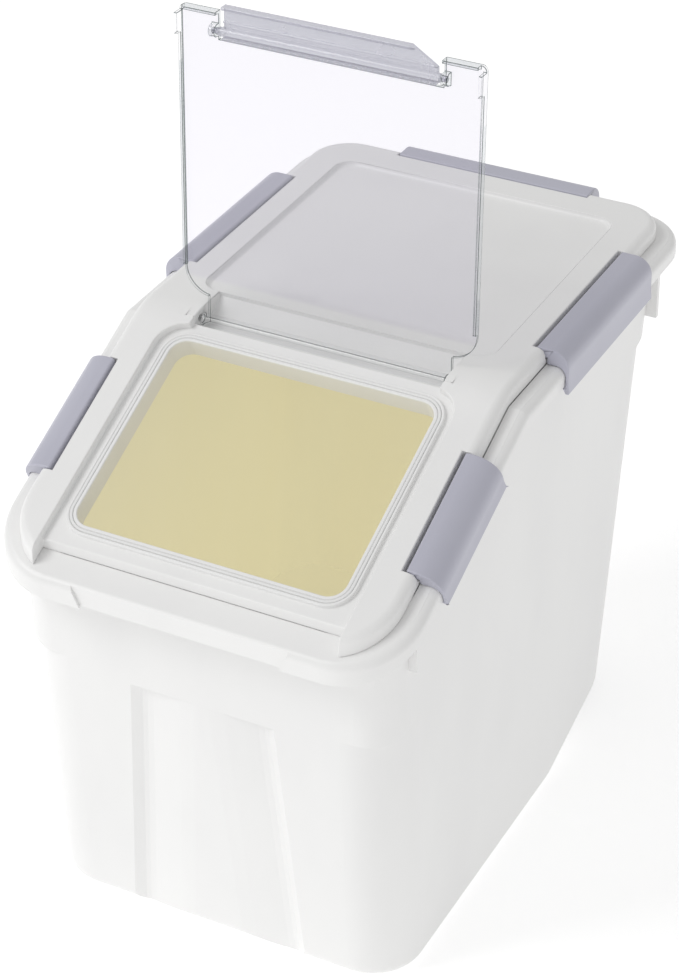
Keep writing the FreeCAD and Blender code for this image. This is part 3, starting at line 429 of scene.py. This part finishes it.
# %% Dress the lid, seals and latches
lid = softened("lid", 0.5 * MM, [WHITE])
for ring in ("lid_gasket", "flap_gasket"):
    softened(ring, 0.4 * MM, [SEAL])
for latch in ("latch_right_rear", "latch_left_rear", "latch_right_front", "latch_left_front",
              "latch_rear"):
    softened(latch, 0.6 * MM, [LATCH_GREY], rings=3)

# %% [markdown]
# ## Clear flap and its latch
# Flat faces of the sheet get the clear finish, the narrow faces of its outline get the edge finish,
# darker with painted shade, and the rounded strips that the bevel adds get the painted dark line. A
# face belongs to the outline if it points along the sheet instead of out of it, which its normal
# says at once. The folded corners and the neck at the hinge are several walls one behind another, so
# they get a lighter copy of the clear finish with less tint, painted light that keeps the tints from
# adding up to a dark patch.


# %% Dress the flap
NECK_HIGH, CORNER_LOW, CORNER_HALF = 302 * MM, 418 * MM, 77 * MM
ALONG_SHEET = 0.35
SHEET, OUTLINE, FOLDED, ROUNDED = range(4)


def dress_sheet(piece):
    """Gives the sheet, its outline and its folded parts a finish each."""
    across = max(piece.data.polygons, key=lambda face: face.area).normal.copy()
    counts = [0] * ROUNDED
    for face in piece.data.polygons:
        centre = face.center
        in_corner = centre.z > CORNER_LOW and abs(centre.x) > CORNER_HALF
        on_edge = abs(face.normal.dot(across)) < ALONG_SHEET
        if centre.z < NECK_HIGH or in_corner:
            face.material_index = FOLDED
        else:
            face.material_index = OUTLINE if on_edge else SHEET
        counts[face.material_index] += 1
    print(piece.name, "has sheet, edge and folded faces:", counts)


flap = softened("flap", 0.3 * MM, [CLEAR, CLEAR_EDGE_PAINTED_SHADE, CLEAR_FOLDS_PAINTED_LIGHT, CLEAR_PAINTED_DARK_LINE],
                edge_slot=ROUNDED, cuts=(NECK_HIGH, CORNER_LOW))
dress_sheet(flap)
flap_catch = softened("flap_latch", 0.4 * MM, [CLEAR_GREY])
low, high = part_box("flap")
print("flap box", [round(v, 4) for v in (high - low)])

# %% [markdown]
# ## Wheels and axle
# The wheels, rod and caps keep their CAD shapes, which are already round, and only get finishes.

# %% Dress the wheels and axle
for node, finish in {"wheel_right": WHEEL, "wheel_left": WHEEL, "rear_axle": ROD_STEEL,
                     "axle_cap_right": CAP_STEEL, "axle_cap_left": CAP_STEEL}.items():
    holder = frame["nodes"][node].data
    holder.materials.clear()
    holder.materials.append(finish)
print("wheels and axle are dressed")

# %% [markdown]
# ## Studio
# A plain white floor, an even white sky and one large soft lamp high on the front left. A large
# lamp gives soft shadows, and an even sky keeps the shaded wall bright. The floor gives off a
# little light of its own, so that it reads as white.


# %% Floor, sky and lamp
BIN_MIDDLE = Vector((0, 0, 0.15))
LAMP_PLACE, LAMP_SIZE, LAMP_WATTS = (-1.5, -1.3, 2.3), 1.3, 27
SKY_STRENGTH, FLOOR_GLOW, FLOOR_SIZE = 0.57, 0.40, 12.0


def lamp(name, place, size, power):
    """A square soft lamp that faces the middle of the bin."""
    light = bpy.data.lights.new(name, "AREA")
    light.shape = "SQUARE"
    light.size = size
    light.energy = power
    holder = bpy.data.objects.new(name, light)
    holder.location = place
    holder.rotation_euler = (BIN_MIDDLE - Vector(place)).to_track_quat("-Z", "Y").to_euler()
    scene.collection.objects.link(holder)


sky = bpy.data.worlds.new("studio_sky")
sky.use_nodes = True
sky.node_tree.nodes["Background"].inputs["Color"].default_value = (1.0, 1.0, 1.0, 1)
sky.node_tree.nodes["Background"].inputs["Strength"].default_value = SKY_STRENGTH
scene.world = sky
scene.view_settings.view_transform = "Standard"
lamp("front_left_lamp", LAMP_PLACE, LAMP_SIZE, LAMP_WATTS)

floor_finish = Finish("pale_floor", Base_Color=(0.93, 0.93, 0.93, 1),
                      Emission_Color=(1, 1, 1, 1), Emission_Strength=FLOOR_GLOW)
floor_finish.feed(Roughness=0.65 + 0.1 * floor_finish.noise(30 * MM))
bpy.ops.mesh.primitive_plane_add(size=FLOOR_SIZE, location=(0, 0, 0))
floor = bpy.context.active_object
floor.name = "studio_floor"
floor.data.materials.append(floor_finish.material)
